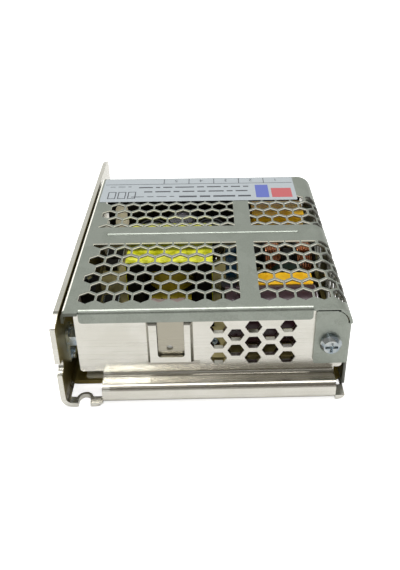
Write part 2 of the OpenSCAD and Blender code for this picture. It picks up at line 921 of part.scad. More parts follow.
module terminal_contacts() {
    color("gold")
        for (i = [0:terminals - 1])
            difference() {
                union() {
                    plate_xy(box_corners(terminal_x(i) - 3.8, strip_y0 + 2, terminal_x(i) + 3.8,
                        strip_y1 - 1.4, 0.4), contact_z, contact_z + contact_t);
                    block([terminal_x(i) - 1.2, strip_y0 + 2, board_top + gap],
                        [terminal_x(i) + 1.2, strip_y0 + 2.8, contact_z + 0.1]);
                }
                rod_z([terminal_x(i), terminal_y, contact_z - cut], 4, screw_r + gap);
            }
}

module terminal_screw(i) {
    color("silver")
        translate([terminal_x(i), terminal_y, head_z]) pan_screw(screw_r, head_r, head_h, 6.6);
}

module terminal_clamp(i) {
    color("silver")
        difference() {
            plate_xy(box_corners(terminal_x(i) - clamp_w / 2, terminal_y - clamp_w / 2,
                terminal_x(i) + clamp_w / 2, terminal_y + clamp_w / 2, 0.5), clamp_z, clamp_z + clamp_t);
            rod_z([terminal_x(i), terminal_y, 0], case_h, screw_r + 0.08);
        }
}

// ---- Adjustment and light ----

module trimmer_body() {
    color("royalblue")
        difference() {
            block([trimmer_x - 3.3, trimmer_y - 3.3, board_top + gap],
                [trimmer_x + 3.3, trimmer_y + 3.3, trimmer_top]);
            rod_z([trimmer_x, trimmer_y, board_top + 1], 10, 1.3);
            rod_z([trimmer_x, trimmer_y, trimmer_top - 0.6], 2, 2.4);
        }
}

module trimmer_rotor() {
    color("white")
        difference() {
            union() {
                rod_z([trimmer_x, trimmer_y, trimmer_top - 0.5], 1.3, 2.3);
                rod_z([trimmer_x, trimmer_y, board_top + 1.2], trimmer_top - board_top - 1.5, 1.25);
            }
            translate([trimmer_x, trimmer_y, trimmer_top + 0.8]) cross_recess(3.2, 0.8);
        }
}

module indicator_led() {
    x = left + 10;
    y = trimmer_y;
    color("lime") {
        rod_z([x, y, board_top + 6], 3.4, 1.5);
        translate([x, y, board_top + 9.4]) sphere(1.5);
        rod_z([x, y, board_top + 5], 1.2, 1.9);
        rod_z([x, y, board_top + gap], 5, 1.7);
    }
}

base();
cover();
label();
insulation_sheet();
circuit_board();
board_pillars();
board_screws();
case_screws();
side_nut();
transformer_core();
transformer_bobbin();
transformer_winding();
transformer_tape();
bulk_capacitor();
film_capacitor_front();
film_capacitor_rear();
choke_core();
choke_bobbin();
choke_windings();
thermistor();
fuse();
bridge_rectifier();
safety_capacitor();
supply_capacitor();
output_capacitors();
output_inductor();
power_transistor();
output_rectifier();
device_screws();
insulating_pads();
snubber_resistor();
optocoupler();
adhesive_bead();
terminal_block();
terminal_contacts();
terminal_screw(0);  // terminal_screw_1
terminal_screw(1);  // terminal_screw_2
terminal_screw(2);  // terminal_screw_3
terminal_screw(3);  // terminal_screw_4
terminal_screw(4);  // terminal_screw_5
terminal_clamp(0);  // terminal_clamp_1
terminal_clamp(1);  // terminal_clamp_2
terminal_clamp(2);  // terminal_clamp_3
terminal_clamp(3);  // terminal_clamp_4
terminal_clamp(4);  // terminal_clamp_5
trimmer_body();
trimmer_rotor();
indicator_led();
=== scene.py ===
import json
import math

import bmesh
import bpy
from mathutils import Matrix, Vector


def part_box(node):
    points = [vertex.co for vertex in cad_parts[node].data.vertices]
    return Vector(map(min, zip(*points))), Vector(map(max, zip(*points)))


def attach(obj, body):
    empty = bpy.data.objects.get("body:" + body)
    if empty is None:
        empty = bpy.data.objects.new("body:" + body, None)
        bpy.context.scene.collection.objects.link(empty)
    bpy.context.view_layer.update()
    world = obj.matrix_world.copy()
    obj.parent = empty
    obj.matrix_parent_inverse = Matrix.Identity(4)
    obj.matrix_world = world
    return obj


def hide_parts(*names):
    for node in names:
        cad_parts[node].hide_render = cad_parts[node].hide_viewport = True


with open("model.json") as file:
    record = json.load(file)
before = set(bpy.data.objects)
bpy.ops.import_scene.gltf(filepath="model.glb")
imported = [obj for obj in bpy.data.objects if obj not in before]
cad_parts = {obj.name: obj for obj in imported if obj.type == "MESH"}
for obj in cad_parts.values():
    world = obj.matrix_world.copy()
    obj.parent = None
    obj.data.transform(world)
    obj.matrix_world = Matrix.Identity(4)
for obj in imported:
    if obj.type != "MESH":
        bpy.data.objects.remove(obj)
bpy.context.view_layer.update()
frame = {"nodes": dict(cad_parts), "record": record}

nodes = frame["nodes"]
scene = bpy.context.scene
mm = 0.001
print("frame loaded:", len(nodes), "nodes")


# camera, floor and light

cameraSetup = {
    "place": (1.6 * mm, -171.9 * mm, 139.1 * mm),
    "turn": (63.47, 0.19, -1.33),  # degrees
    "lens": 37.86,
    "shift": (-0.035, -0.219),
}
studio = {
    "floorSize": 3.0,
    "floorDrop": 0.05 * mm,  # clear of the mounting face
    "floorGlow": 0.7,  # brightness the camera sees on top of the light that falls there
    # share of the way from the horizon in front, over the zenith, to the one behind, and the colour there
    "sky": ((0.0, (0.08, 0.08, 0.075)), (0.035, (0.14, 0.14, 0.13)), (0.10, (0.40, 0.39, 0.36)),
            (0.22, (0.26, 0.26, 0.25)), (0.5, (0.40, 0.40, 0.38)), (0.9, (0.64, 0.65, 0.62))),
    "skyStrength": 1.0,
    # name, place, aim, size and power of each soft light
    "lights": [("key", (0, 0.02, 0.75), (0, 0, 0), (0.8, 0.22), 4.3),
               ("window", (-0.19, -0.85, 0.89), (0, 0, 0.02), (0.08, 0.14), 0.9)],
}


def makeCamera():
    data = bpy.data.cameras.new("camera")
    data.lens = cameraSetup["lens"]
    data.sensor_width = 36
    data.shift_x, data.shift_y = cameraSetup["shift"]
    data.clip_start = 0.005
    camera = bpy.data.objects.new("camera", data)
    camera.location = cameraSetup["place"]
    camera.rotation_euler = [math.radians(a) for a in cameraSetup["turn"]]
    scene.collection.objects.link(camera)
    scene.camera = camera


def softLight(name, place, aim, size, power):
    data = bpy.data.lights.new(name, "AREA")
    data.shape = "RECTANGLE"
    data.size, data.size_y = size
    data.energy = power
    light = bpy.data.objects.new(name, data)
    light.location = place
    light.rotation_euler = (Vector(aim) - Vector(place)).to_track_quat("-Z", "Y").to_euler()
    scene.collection.objects.link(light)


def makeSky():
    world = bpy.data.worlds.new("studio")
    world.use_nodes = True
    scene.world = world
    tree = world.node_tree
    coords = tree.nodes.new("ShaderNodeTexCoord")
    split = tree.nodes.new("ShaderNodeSeparateXYZ")
    ramp = tree.nodes.new("ShaderNodeValToRGB")
    half = tree.nodes.new("ShaderNodeMapRange")
    half.inputs["From Min"].default_value = -1
    for place, colour in studio["sky"]:
        ramp.color_ramp.elements.new(place).color = (*colour, 1)
    back = tree.nodes["Background"]
    back.inputs["Strength"].default_value = studio["skyStrength"]
    tree.links.new(coords.outputs["Generated"], split.inputs[0])
    tree.links.new(split.outputs["Y"], half.inputs[0])
    tree.links.new(half.outputs[0], ramp.inputs[0])
    tree.links.new(ramp.outputs[0], back.inputs["Color"])


makeCamera()
makeSky()
for light in studio["lights"]:
    softLight(*light)
scene.view_settings.view_transform = "Standard"
print("camera and light done")


# finishes: every pattern reads Object coordinates, in metres

class Finish:
    def __init__(self, name, **numbers):
        self.material = bpy.data.materials.new(name)
        self.material.use_nodes = True
        self.tree = self.material.node_tree
        self.shader = self.tree.nodes["Principled BSDF"]
        self.place = self.node("TexCoord").outputs["Object"]
        for word, value in numbers.items():
            self.set(word, value)

    def set(self, word, value):  # coatRoughness is the socket Coat Roughness
        spaced = "".join(" " + c if c.isupper() else c for c in word).title()
        socket = {"Ior": "IOR", "Specular": "Specular IOR Level"}.get(spaced, spaced)
        self.feed(self.shader.inputs[socket], value)

    def feed(self, socket, value):
        if isinstance(value, bpy.types.NodeSocket):
            self.tree.links.new(value, socket)
        elif isinstance(value, tuple) and socket.type == "RGBA":
            socket.default_value = (*value, 1)
        else:
            socket.default_value = value

    def node(self, kind, *inputs, **settings):
        made = self.tree.nodes.new("ShaderNode" + kind)
        for word, value in settings.items():
            setattr(made, word, value)
        for socket, value in zip(made.inputs, inputs):
            if value is not None:
                self.feed(socket, value)
        return made

    def stretched(self, x, y, z):  # coordinates times x, y and z
        return self.node("Mapping", self.place, None, None, (x, y, z)).outputs[0]

    def noise(self, scale, detail=2.0, where=None):
        made = self.node("TexNoise")
        self.feed(made.inputs["Vector"], where or self.place)
        self.feed(made.inputs["Scale"], scale)
        self.feed(made.inputs["Detail"], detail)
        return made.outputs["Fac"]

    def cells(self, scale):  # a grey value for each cell
        made = self.node("TexVoronoi")
        self.feed(made.inputs["Vector"], self.place)
        self.feed(made.inputs["Scale"], scale)
        return self.node("SeparateColor", made.outputs["Color"]).outputs[0]

    def axis(self, letter):
        return self.node("SeparateXYZ", self.place).outputs[letter]

    def calc(self, operation, a, b=0.0):
        return self.node("Math", a, b, operation=operation).outputs[0]

    def times(self, share, *others):
        for other in others:
            share = self.calc("MULTIPLY", share, other)
        return share

    def less(self, a, b):
        return self.calc("SUBTRACT", a, b)

    def ramp(self, value, low, high, start=0.0, end=1.0):  # start at low, end at high
        made = self.node("MapRange", value, low, high, start, end, interpolation_type="SMOOTHSTEP")
        return made.outputs[0]

    def zone(self, limits):  # 1 inside (start, end, softness) in mm along X, Y and Z
        shares = []
        for letter, limit in zip("XYZ", limits):
            if limit:
                along = self.axis(letter)
                start, end, soft = [value * mm for value in limit]
                shares += [self.ramp(along, start, start + soft), self.ramp(along, end - soft, end, 1.0, 0.0)]
        return self.times(*shares)

    def blend(self, share, a, b):  # colour a at share 0, colour b at share 1
        made = self.node("Mix", data_type="RGBA")
        for socket, value in zip((made.inputs[0], made.inputs[6], made.inputs[7]), (share, a, b)):
            self.feed(socket, value)
        return made.outputs[2]

    def bump(self, height, depth, strength=0.5):
        made = self.node("Bump")
        self.feed(made.inputs["Strength"], strength)
        self.feed(made.inputs["Distance"], depth)
        self.feed(made.inputs["Height"], height)
        self.feed(self.shader.inputs["Normal"], made.outputs[0])


coverSheet = {
    "thickness": 0.8 * mm,
    "bendRadius": 5.6 * mm,
    "dark": (0.29, 0.315, 0.275),
    "light": (0.35, 0.375, 0.335),
    "grain": (0.48, 0.51, 0.46),
    # outer part of a cut edge: bare cut steel, lightened further by a painted highlight
    "cutEdgeLit": (0.90, 0.88, 0.82),
    # painted glint: glow given off by the lit part of the cut edges
    "cutGlint": (0.32, 0.32, 0.27),
    "cutShade": (0.10, 0.10, 0.085),  # inner part of a cut edge, away from the light
    # depth of the painted highlight band on a cut edge, from the outer face
    "burr": 0.42 * mm,
    # painted shade on the cut edges of the side bend
    "bendEdgeShade": (0.30, 0.30, 0.28),
    "foldDepth": 1.6 * mm,  # the front fold isn't a cut edge
    "lipShade": (0.06, 0.06, 0.05),
    "lipEnd": 30.1 * mm,  # its right end
    "gap": ((31.0, 37.5, 0.2), None, (28.75, 29.35, 0.05)),  # shaded gap above the tab
    "gapShade": (0.01, 0.01, 0.01),
}


def galvanisedSheet():
    finish = Finish("galvanised_sheet")
    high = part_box("label")[0].z  # the flat top of the sheet
    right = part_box("cover")[1].x
    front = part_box("cover")[0].y + coverSheet["foldDepth"]
    radius = coverSheet["bendRadius"]
    bend = right - radius
    along, depth = finish.axis("X"), finish.axis("Y")

    # distance from the axis of the side bend, which tells a cut edge from a face
    outX = finish.calc("MAXIMUM", finish.less(along, bend), 0.0)
    outZ = finish.calc("MAXIMUM", finish.less(finish.axis("Z"), high - radius), 0.0)
    squares = finish.calc("ADD", finish.calc("POWER", outX, 2.0), finish.calc("POWER", outZ, 2.0))
    reach = finish.calc("SQRT", squares)
    inner = radius - coverSheet["thickness"]
    cut = finish.times(finish.ramp(reach, inner + 0.02 * mm, inner + 0.1 * mm),
                       finish.ramp(reach, radius - 0.1 * mm, radius - 0.02 * mm, 1.0, 0.0),
                       finish.ramp(depth, front - 0.1 * mm, front + 0.1 * mm))
    # painted highlight on the outer part of each cut edge, painted shade on the inner part
    burr = radius - coverSheet["burr"]
    bright = finish.ramp(reach, burr - 0.06 * mm, burr)
    # on the side bend the cut edges get painted shade and no painted glint
    onBend = finish.ramp(along, bend - 0.5 * mm, bend + 2 * mm)
    glint = finish.times(cut, finish.less(bright, finish.times(onBend, bright)))
    edge = finish.blend(onBend, coverSheet["cutEdgeLit"], coverSheet["bendEdgeShade"])
    edge = finish.blend(bright, coverSheet["cutShade"], edge)

    spangle = finish.ramp(finish.cells(240), 0.0, 1.0, 0.2, 0.8)
    grain = finish.noise(2400, 4.0)
    tone = finish.blend(spangle, coverSheet["dark"], coverSheet["light"])
    tone = finish.blend(finish.ramp(grain, 0.35, 0.7, 0.0, 0.35), tone, coverSheet["grain"])
    lipEnd = coverSheet["lipEnd"]
    lip = finish.times(finish.ramp(depth, front - 1.5 * mm, front - 1.0 * mm, 1.0, 0.0),
                       finish.ramp(along, lipEnd, lipEnd + 0.4 * mm, 1.0, 0.0))
    tone = finish.blend(finish.times(lip, 0.62), tone, coverSheet["lipShade"])
    gap = finish.times(finish.ramp(depth, front - 0.4 * mm, front - 0.3 * mm, 1.0, 0.0),
                       finish.zone(coverSheet["gap"]))
    tone = finish.blend(gap, tone, coverSheet["gapShade"])
    finish.set("baseColor", finish.blend(cut, tone, edge))
    finish.set("metallic", finish.less(1.0, cut))
    # the emission is a painted glint on the cut edges
    finish.set("emissionColor", finish.blend(glint, (0.0, 0.0, 0.0), coverSheet["cutGlint"]))
    finish.set("emissionStrength", 1.0)
    finish.set("roughness", finish.ramp(grain, 0.3, 0.7, 0.34, 0.48))
    finish.bump(finish.calc("ADD", grain, finish.times(spangle, 0.4)), 0.02 * mm, 0.35)
    return finish.material


baseSheet = {
    "thickness": 1.5 * mm,
    "outside": (0.80, 0.78, 0.72),
    "smudge": (0.72, 0.70, 0.63),
    "streak": (0.60, 0.58, 0.52),
    # painted shade on the inner faces, olive toned
    "inside": (0.26, 0.21, 0.07),
    "clearEnd": 34.0 * mm,  # towards the terminals the painted shade fades and the inner faces are as bright as the outer ones
    "clearFade": 16.0 * mm,
    # zones of shade as (start, end, softness) in mm along X, Y and Z
    "tongue": ((-13.5, -5.7, 0.1), (-43.7, -42.6, 0.05), (13.5, 25.8, 0.05)),
    "tongueShade": (0.40, 0.37, 0.29),
    "slopes": (None, (-44.66, -43.68, 0.05), None),  # of the raised pad
    "slot": ((-13.4, -5.8, 0.05), (-43.75, -42.0, 0.05), (13.3, 13.95, 0.08)),  # below the tongue
    "slotShade": (0.13, 0.12, 0.09),
    # painted highlight in the dimple of the tongue
    "dimpleHighlight": (0.95, 0.95, 0.92),
    "dimplePlace": (-10.0 * mm, 15.9 * mm),  # across and up
    "dimpleRadius": 0.95 * mm,
    "folds": [
        (((-27.5, 60.0, 0.5), (-48.7, -47.2, 0.3), (4.5, 60.0, 0.4)), 0.75),  # fold of the foot
        (((-17.2, -1.4, 0.4), (-43.9, -43.0, 0.4), (9.3, 11.2, 0.4)), 0.5),  # below the pad
        (((-27.5, 37.5, 0.4), (-44.4, -43.0, 0.4), (5.6, 7.4, 0.4)), 0.45),  # corner at the end wall
        (((-16.0, 38.0, 0.4), (-47.4, -43.8, 0.4), (5.5, 6.5, 0.4)), 0.5),  # ledge
    ],
    "foldShade": (0.30, 0.27, 0.22),
}


def aluminiumSheet():
    finish = Finish("aluminium_sheet")
    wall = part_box("insulating_pads")[0].y  # just behind the inner face of the end wall
    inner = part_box("base")[0].x + baseSheet["thickness"]
    along, depth, height = [finish.axis(letter) for letter in "XYZ"]

    # painted shade on the inner faces: behind the end wall, and beside the left wall above the floor
    right = finish.ramp(along, inner - 0.15 * mm, inner - 0.03 * mm)
    behind = finish.ramp(depth, wall - 0.6 * mm, wall - 0.35 * mm)
    beside = finish.times(finish.ramp(along, inner + 0.05 * mm, inner + 0.6 * mm, 1.0, 0.0),
                          finish.ramp(height, 1.5 * mm, 6 * mm))
    clear = baseSheet["clearEnd"]
    inside = finish.times(right, finish.calc("MAXIMUM", behind, beside),
                          finish.ramp(depth, clear - baseSheet["clearFade"], clear, 1.0, 0.0))

    streak = finish.noise(1.0, 3.0, finish.stretched(30, 1700, 1700))
    smudge = finish.noise(120, 3.0)
    tone = finish.blend(finish.ramp(smudge, 0.3, 0.7), baseSheet["outside"], baseSheet["smudge"])
    tone = finish.blend(finish.ramp(streak, 0.4, 0.7, 0.0, 0.25), tone, baseSheet["streak"])
    tongue = finish.zone(baseSheet["tongue"])
    slopes = finish.zone(baseSheet["slopes"])
    tone = finish.blend(finish.times(tongue, 0.85), tone, baseSheet["tongueShade"])
    tone = finish.blend(finish.times(slopes, 0.6), tone, baseSheet["slotShade"])
    tone = finish.blend(finish.zone(baseSheet["slot"]), tone, baseSheet["slotShade"])

    x, z = baseSheet["dimplePlace"]
    offX = finish.calc("POWER", finish.less(along, x), 2.0)
    offZ = finish.calc("POWER", finish.less(height, z), 2.0)
    rim = baseSheet["dimpleRadius"]
    disc = finish.ramp(finish.calc("SQRT", finish.calc("ADD", offX, offZ)), rim - 0.1 * mm, rim)
    # the dimple gets a painted highlight: near-white and less metallic
    dimpleHighlight = finish.times(finish.less(1.0, disc), tongue)
    tone = finish.blend(dimpleHighlight, tone, baseSheet["dimpleHighlight"])
    finish.set("metallic", finish.less(1.0, finish.times(dimpleHighlight, 0.8)))

    for limits, share in baseSheet["folds"]:
        tone = finish.blend(finish.times(finish.zone(limits), share), tone, baseSheet["foldShade"])
    finish.set("baseColor", finish.blend(inside, tone, baseSheet["inside"]))
    rough = finish.ramp(streak, 0.3, 0.7, 0.22, 0.28)
    finish.set("roughness", finish.calc("ADD", rough, finish.times(inside, 0.15)))
    finish.bump(streak, 0.008 * mm, 0.25)
    return finish.material


def labelFilm():
    finish = Finish("label_film", roughness=0.34, coatWeight=0.2, coatRoughness=0.2)
    weave = finish.noise(900, 3.0)
    finish.set("baseColor", finish.blend(weave, (0.38, 0.42, 0.45), (0.46, 0.50, 0.53)))
    finish.bump(finish.noise(160, 2.0), 0.05 * mm, 0.25)
    return finish.material


def moulding(name, dark, light, roughness, grain=1500, depth=0.02, **numbers):
    finish = Finish(name, **numbers)
    speck = finish.noise(grain, 3.0)
    cloud = finish.noise(grain / 12, 2.0)
    mixed = finish.times(finish.calc("ADD", speck, cloud), 0.5)
    finish.set("baseColor", finish.blend(mixed, dark, light))
    finish.set("roughness", finish.ramp(speck, 0.3, 0.7, roughness - 0.06, roughness + 0.06))
    finish.bump(speck, depth * mm, 0.4)
    return finish.material


def platedMetal():
    finish = Finish("plated_metal", metallic=1.0)
    haze = finish.noise(500, 3.0)
    tint = finish.blend(finish.ramp(haze, 0.35, 0.65), (0.56, 0.58, 0.57), (0.34, 0.40, 0.45))
    finish.set("baseColor", tint)
    finish.set("roughness", finish.ramp(haze, 0.3, 0.7, 0.16, 0.28))
    finish.bump(finish.noise(2500, 2.0), 0.01 * mm, 0.3)
    return finish.material


def yellowTape():
    finish = Finish("yellow_tape", coatWeight=1.0, coatRoughness=0.05)
    low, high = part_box("transformer_tape")
    wrinkle = finish.noise(1.0, 2.0, finish.stretched(300, 480, 260))
    off = finish.less(finish.axis("X"), low.x + 0.7 * (high.x - low.x))
    seam = finish.ramp(finish.calc("ABSOLUTE", off), 0.1 * mm, 0.35 * mm, 0.7, 1.0)
    # the tape's yellow, darker in the creases of the wrinkles as painted shade and lighter on their ridges as
    # painted highlight
    tone = finish.blend(finish.ramp(wrinkle, 0.4, 0.62), (0.58, 0.58, 0.012), (0.95, 0.95, 0.06))
    finish.set("baseColor", finish.blend(seam, (0.34, 0.34, 0.02), tone))
    finish.set("roughness", finish.ramp(wrinkle, 0.3, 0.7, 0.22, 0.38))
    finish.bump(wrinkle, 0.35 * mm, 0.6)
    return finish.material


def woundTape():
    finish = Finish("amber_tape", coatWeight=0.3)
    rings = finish.noise(1.0, 2.0, finish.stretched(60, 60, 1800))
    finish.set("baseColor", finish.blend(rings, (0.42, 0.32, 0.02), (0.66, 0.54, 0.05)))
    finish.set("roughness", finish.ramp(rings, 0.3, 0.7, 0.35, 0.5))
    finish.bump(rings, 0.06 * mm, 0.5)
    return finish.material


def shrinkSleeve(name, dark, light, topOf, topColour, axis):
    # a glossy sleeve, and bare metal on the end of the can
    finish = Finish(name, coatWeight=0.15, coatRoughness=0.15, specular=0.25)
    low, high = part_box(topOf)
    along = finish.axis(axis)
    end = getattr(high, axis.lower())
    bare = finish.times(finish.ramp(along, end - 0.45 * mm, end - 0.35 * mm),
                        finish.ramp(along, end - 0.2 * mm, end - 0.1 * mm, 1.0, 0.0))
    cloud = finish.noise(180, 3.0)
    finish.set("baseColor", finish.blend(bare, finish.blend(cloud, dark, light), topColour))
    finish.set("metallic", bare)
    finish.set("roughness", finish.ramp(cloud, 0.3, 0.7, 0.24, 0.36))
    finish.bump(finish.noise(700, 2.0), 0.02 * mm, 0.3)
    return finish.material


def wireCoat():
    finish = Finish("copper_wire", metallic=0.85, coatWeight=0.7, coatRoughness=0.1)
    tint = finish.noise(300, 3.0)
    finish.set("baseColor", finish.blend(tint, (0.42, 0.13, 0.05), (0.72, 0.30, 0.13)))
    finish.set("roughness", finish.ramp(tint, 0.3, 0.7, 0.2, 0.34))
    return finish.material


def amberCase():
    finish = Finish("amber_case", coatWeight=0.4, coatRoughness=0.12, subsurfaceWeight=0.15)
    finish.set("subsurfaceRadius", (2 * mm, 1 * mm, 0.3 * mm))
    cloud = finish.noise(150, 2.0)
    finish.set("baseColor", finish.blend(cloud, (0.95, 0.46, 0.006), (1.0, 0.62, 0.03)))
    finish.set("roughness", finish.ramp(cloud, 0.3, 0.7, 0.22, 0.34))
    finish.bump(finish.noise(90, 2.0), 0.25 * mm, 0.4)
    return finish.material


def boardLaminate():
    finish = Finish("board_laminate", coatWeight=0.3, coatRoughness=0.3)
    weaveX = finish.noise(1.0, 1.0, finish.stretched(2200, 120, 120))
    weaveY = finish.noise(1.0, 1.0, finish.stretched(120, 2200, 120))
    weave = finish.times(finish.calc("ADD", weaveX, weaveY), 0.5)
    finish.set("baseColor", finish.blend(weave, (0.30, 0.25, 0.09), (0.48, 0.41, 0.18)))
    finish.set("roughness", finish.ramp(weave, 0.3, 0.7, 0.4, 0.6))
    finish.bump(weave, 0.03 * mm, 0.4)
    return finish.material


def clearFilm():
    finish = Finish("clear_film", roughness=0.3, alpha=0.75, ior=1.5)
    haze = finish.noise(200, 2.0)
    finish.set("baseColor", finish.blend(haze, (0.60, 0.56, 0.42), (0.72, 0.69, 0.56)))
    finish.bump(haze, 0.1 * mm, 0.3)
    return finish.material


def greenLens():
    finish = Finish("green_lens", roughness=0.08, transmissionWeight=0.7, ior=1.5, coatWeight=0.3)
    cloud = finish.noise(600, 2.0)
    finish.set("baseColor", finish.blend(cloud, (0.16, 0.60, 0.20), (0.26, 0.75, 0.30)))
    finish.bump(finish.noise(1500, 1.0), 0.01 * mm, 0.2)
    return finish.material


def brassContact():
    finish = Finish("brass_contact", metallic=1.0)
    haze = finish.noise(400, 3.0)
    finish.set("baseColor", finish.blend(haze, (0.72, 0.60, 0.34), (0.80, 0.72, 0.50)))
    finish.set("roughness", finish.ramp(haze, 0.3, 0.7, 0.22, 0.36))
    return finish.material


finishes = {
    "galvanised_sheet": galvanisedSheet(),
    "aluminium_sheet": aluminiumSheet(),
    "label_film": labelFilm(),
    "clear_film": clearFilm(),
    "board_laminate": boardLaminate(),
    "plated_metal": platedMetal(),
    "ferrite": moulding("ferrite", (0.004, 0.004, 0.004), (0.014, 0.013, 0.012), 0.6, 3500, 0.03,
                        specular=0.12),
    "black_moulding": moulding("black_moulding", (0.005, 0.005, 0.005), (0.014, 0.014, 0.013), 0.45,
                               specular=0.2),
    "amber_tape": woundTape(),
    "yellow_tape": yellowTape(),
    "maroon_sleeve": shrinkSleeve("maroon_sleeve", (0.022, 0.007, 0.010), (0.050, 0.016, 0.024),
                                  "bulk_capacitor", (0.55, 0.53, 0.55), "X"),
    "amber_case": amberCase(),
    "copper_wire": wireCoat(),
    "dark_resin": moulding("dark_resin", (0.003, 0.010, 0.006), (0.008, 0.022, 0.013), 0.45, 1200, 0.06,
                           specular=0.2),
    "blue_resin": moulding("blue_resin", (0.004, 0.032, 0.070), (0.010, 0.085, 0.20), 0.3, 700, 0.05,
                           coatWeight=0.6, coatRoughness=0.08),
    "black_sleeve": shrinkSleeve("black_sleeve", (0.010, 0.010, 0.013), (0.024, 0.024, 0.028),
                                 "output_capacitors", (0.46, 0.44, 0.50), "Z"),
    "silicone_pad": moulding("silicone_pad", (0.34, 0.31, 0.34), (0.44, 0.40, 0.43), 0.7, 1800, 0.02),
    "resistor_coat": moulding("resistor_coat", (0.26, 0.19, 0.175), (0.38, 0.30, 0.28), 0.5, 1400, 0.05),
    # the emission is painted light: the ivory silicone glows so that it looks lit
    "ivory_silicone": moulding("ivory_silicone", (0.84, 0.78, 0.58), (0.96, 0.92, 0.78), 0.4, 500, 0.15,
                               emissionColor=(0.30, 0.27, 0.19), emissionStrength=0.8),
    "brass_contact": brassContact(),
    "blue_moulding": moulding("blue_moulding", (0.015, 0.07, 0.32), (0.03, 0.12, 0.46), 0.35),
    "white_moulding": moulding("white_moulding", (0.70, 0.70, 0.68), (0.82, 0.82, 0.80), 0.4),
    "green_lens": greenLens(),
}
for row in frame["record"]["subparts"]:
    mesh = nodes[row["node"]].data
    mesh.materials.clear()
    mesh.materials.append(finishes[row["material_slot"]])
print("finishes done:", len(finishes))


# helpers for the pieces: all of them ride on the case

def makePiece(shape, name, slot, stands=(), bevel=0.0, finish=None):
    bmesh.ops.remove_doubles(shape, verts=shape.verts, dist=0.001 * mm)
    bmesh.ops.recalc_face_normals(shape, faces=shape.faces)
    mesh = bpy.data.meshes.new(name)
    shape.to_mesh(mesh)
    shape.free()
    mesh.polygons.foreach_set("use_smooth", [True] * len(mesh.polygons))
    mesh.set_sharp_from_angle(angle=math.radians(38))
    mesh.materials.append(finishes[finish or slot])
    piece = bpy.data.objects.new(name, mesh)
    scene.collection.objects.link(piece)
    if bevel:
        edge = piece.modifiers.new("edges", "BEVEL")
        edge.width = bevel
        edge.segments = 2
    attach(piece, "case")
    if stands:
        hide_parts(*stands)


def block(shape, low, high):
    low, high = Vector(low), Vector(high)
    place = Matrix.Translation((low + high) / 2) @ Matrix.Diagonal((*(high - low), 1))
    bmesh.ops.create_cube(shape, size=1, matrix=place)


def turned(shape, profile, place):  # a profile of (radius, height) spun round Z, then placed
    before = set(shape.verts)
    points = [shape.verts.new((r, 0, h)) for r, h in profile]
    edges = [shape.edges.new(pair) for pair in zip(points, points[1:])]
    bmesh.ops.spin(shape, geom=points + edges, cent=(0, 0, 0), axis=(0, 0, 1), dvec=(0, 0, 0),
                   angle=2 * math.pi, steps=32, use_merge=True)
    bmesh.ops.transform(shape, matrix=place, verts=[v for v in shape.verts if v not in before])


def wireCoil(shape, place, radius, wire, length, steps=24, sides=8):  # touching turns along Z
    before = set(shape.verts)
    pitch = 2 * wire
    turns = int(length / pitch)
    start = (length - turns * pitch) / 2 + wire
    upright = Matrix.Translation((radius, 0, start)) @ Matrix.Rotation(math.pi / 2, 4, "X")
    made = bmesh.ops.create_circle(shape, segments=sides, radius=wire, matrix=upright)["verts"]
    rim = list({e for v in made for e in v.link_edges})
    bmesh.ops.spin(shape, geom=made + rim, cent=(0, 0, 0), axis=(0, 0, 1), angle=2 * math.pi * (turns - 1),
                   dvec=(0, 0, pitch / steps), steps=steps * (turns - 1), use_merge=False)
    coil = [v for v in shape.verts if v not in before]
    ends = list({e for v in coil for e in v.link_edges if e.is_boundary})
    bmesh.ops.holes_fill(shape, edges=ends, sides=sides)
    bmesh.ops.transform(shape, matrix=place, verts=coil)


# common mode choke: two windings on a reel that lies along X

choke = {
    "wire": 0.42 * mm,  # radius
    "bundle": 3.7 * mm,  # inner radius of the turns under the outer layer
    "section": 5.1 * mm,
    "divider": 5.6 * mm,
    "flange": 1.0 * mm,
    "flangeHole": 3.3 * mm,
    "rim": 0.25 * mm,  # rounding of each flange
    "tube": (3.1 * mm, 3.6 * mm),
    "gap": 0.1 * mm,  # between the bundle and the flanges
}


def makeChoke():
    low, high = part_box("choke_windings")
    bobbinLow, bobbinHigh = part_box("choke_bobbin")
    centre = (bobbinLow + bobbinHigh) / 2
    outer = (bobbinHigh.z - bobbinLow.z) / 2
    radius = (high.z - low.z) / 2
    wire, half, flange, rim = [choke[key] for key in ("wire", "section", "flange", "rim")]
    hole, gap = choke["flangeHole"], choke["gap"]
    alongX = Matrix.Rotation(math.pi / 2, 4, "Y")
    wires, reel = bmesh.new(), bmesh.new()
    for start in (low.x, low.x + half + choke["divider"]):
        place = Matrix.Translation((start, centre.y, centre.z)) @ alongX
        wireCoil(wires, place, radius - wire, wire, half)
        inner, under = choke["bundle"], radius - 1.4 * wire
        turned(wires, [(inner, gap), (under, gap), (under, half - gap), (inner, half - gap),
                       (inner, gap)], place)
        for side in (-flange, half):
            turned(reel, [(hole, side), (outer - rim, side), (outer, side + rim),
                          (outer, side + flange - rim), (outer - rim, side + flange),
                          (hole, side + flange), (hole, side)], place)
    place = Matrix.Translation((low.x, centre.y, centre.z)) @ alongX
    length = 2 * half + choke["divider"]
    inner, outer = choke["tube"]
    turned(reel, [(inner, 0), (outer, 0), (outer, length), (inner, length), (inner, 0)], place)
    makePiece(wires, "choke_wire", "copper_wire", stands=["choke_windings"])
    makePiece(reel, "choke_reel", "black_moulding", stands=["choke_bobbin"])


# output inductor: an upright ferrite drum with its wire in the groove

inductor = {
    "wire": 0.35 * mm,  # radius
    "wireInset": 0.8 * mm,  # depth below the rim
    "bundle": (2.3 * mm, 1.3 * mm),  # depths of the turns under the outer layer
    "hole": 0.8 * mm,
    "rim": 0.3 * mm,
    "flange": 1.4 * mm,
    "groove": 2.4 * mm,
    "lift": 0.02 * mm,  # above the board
}


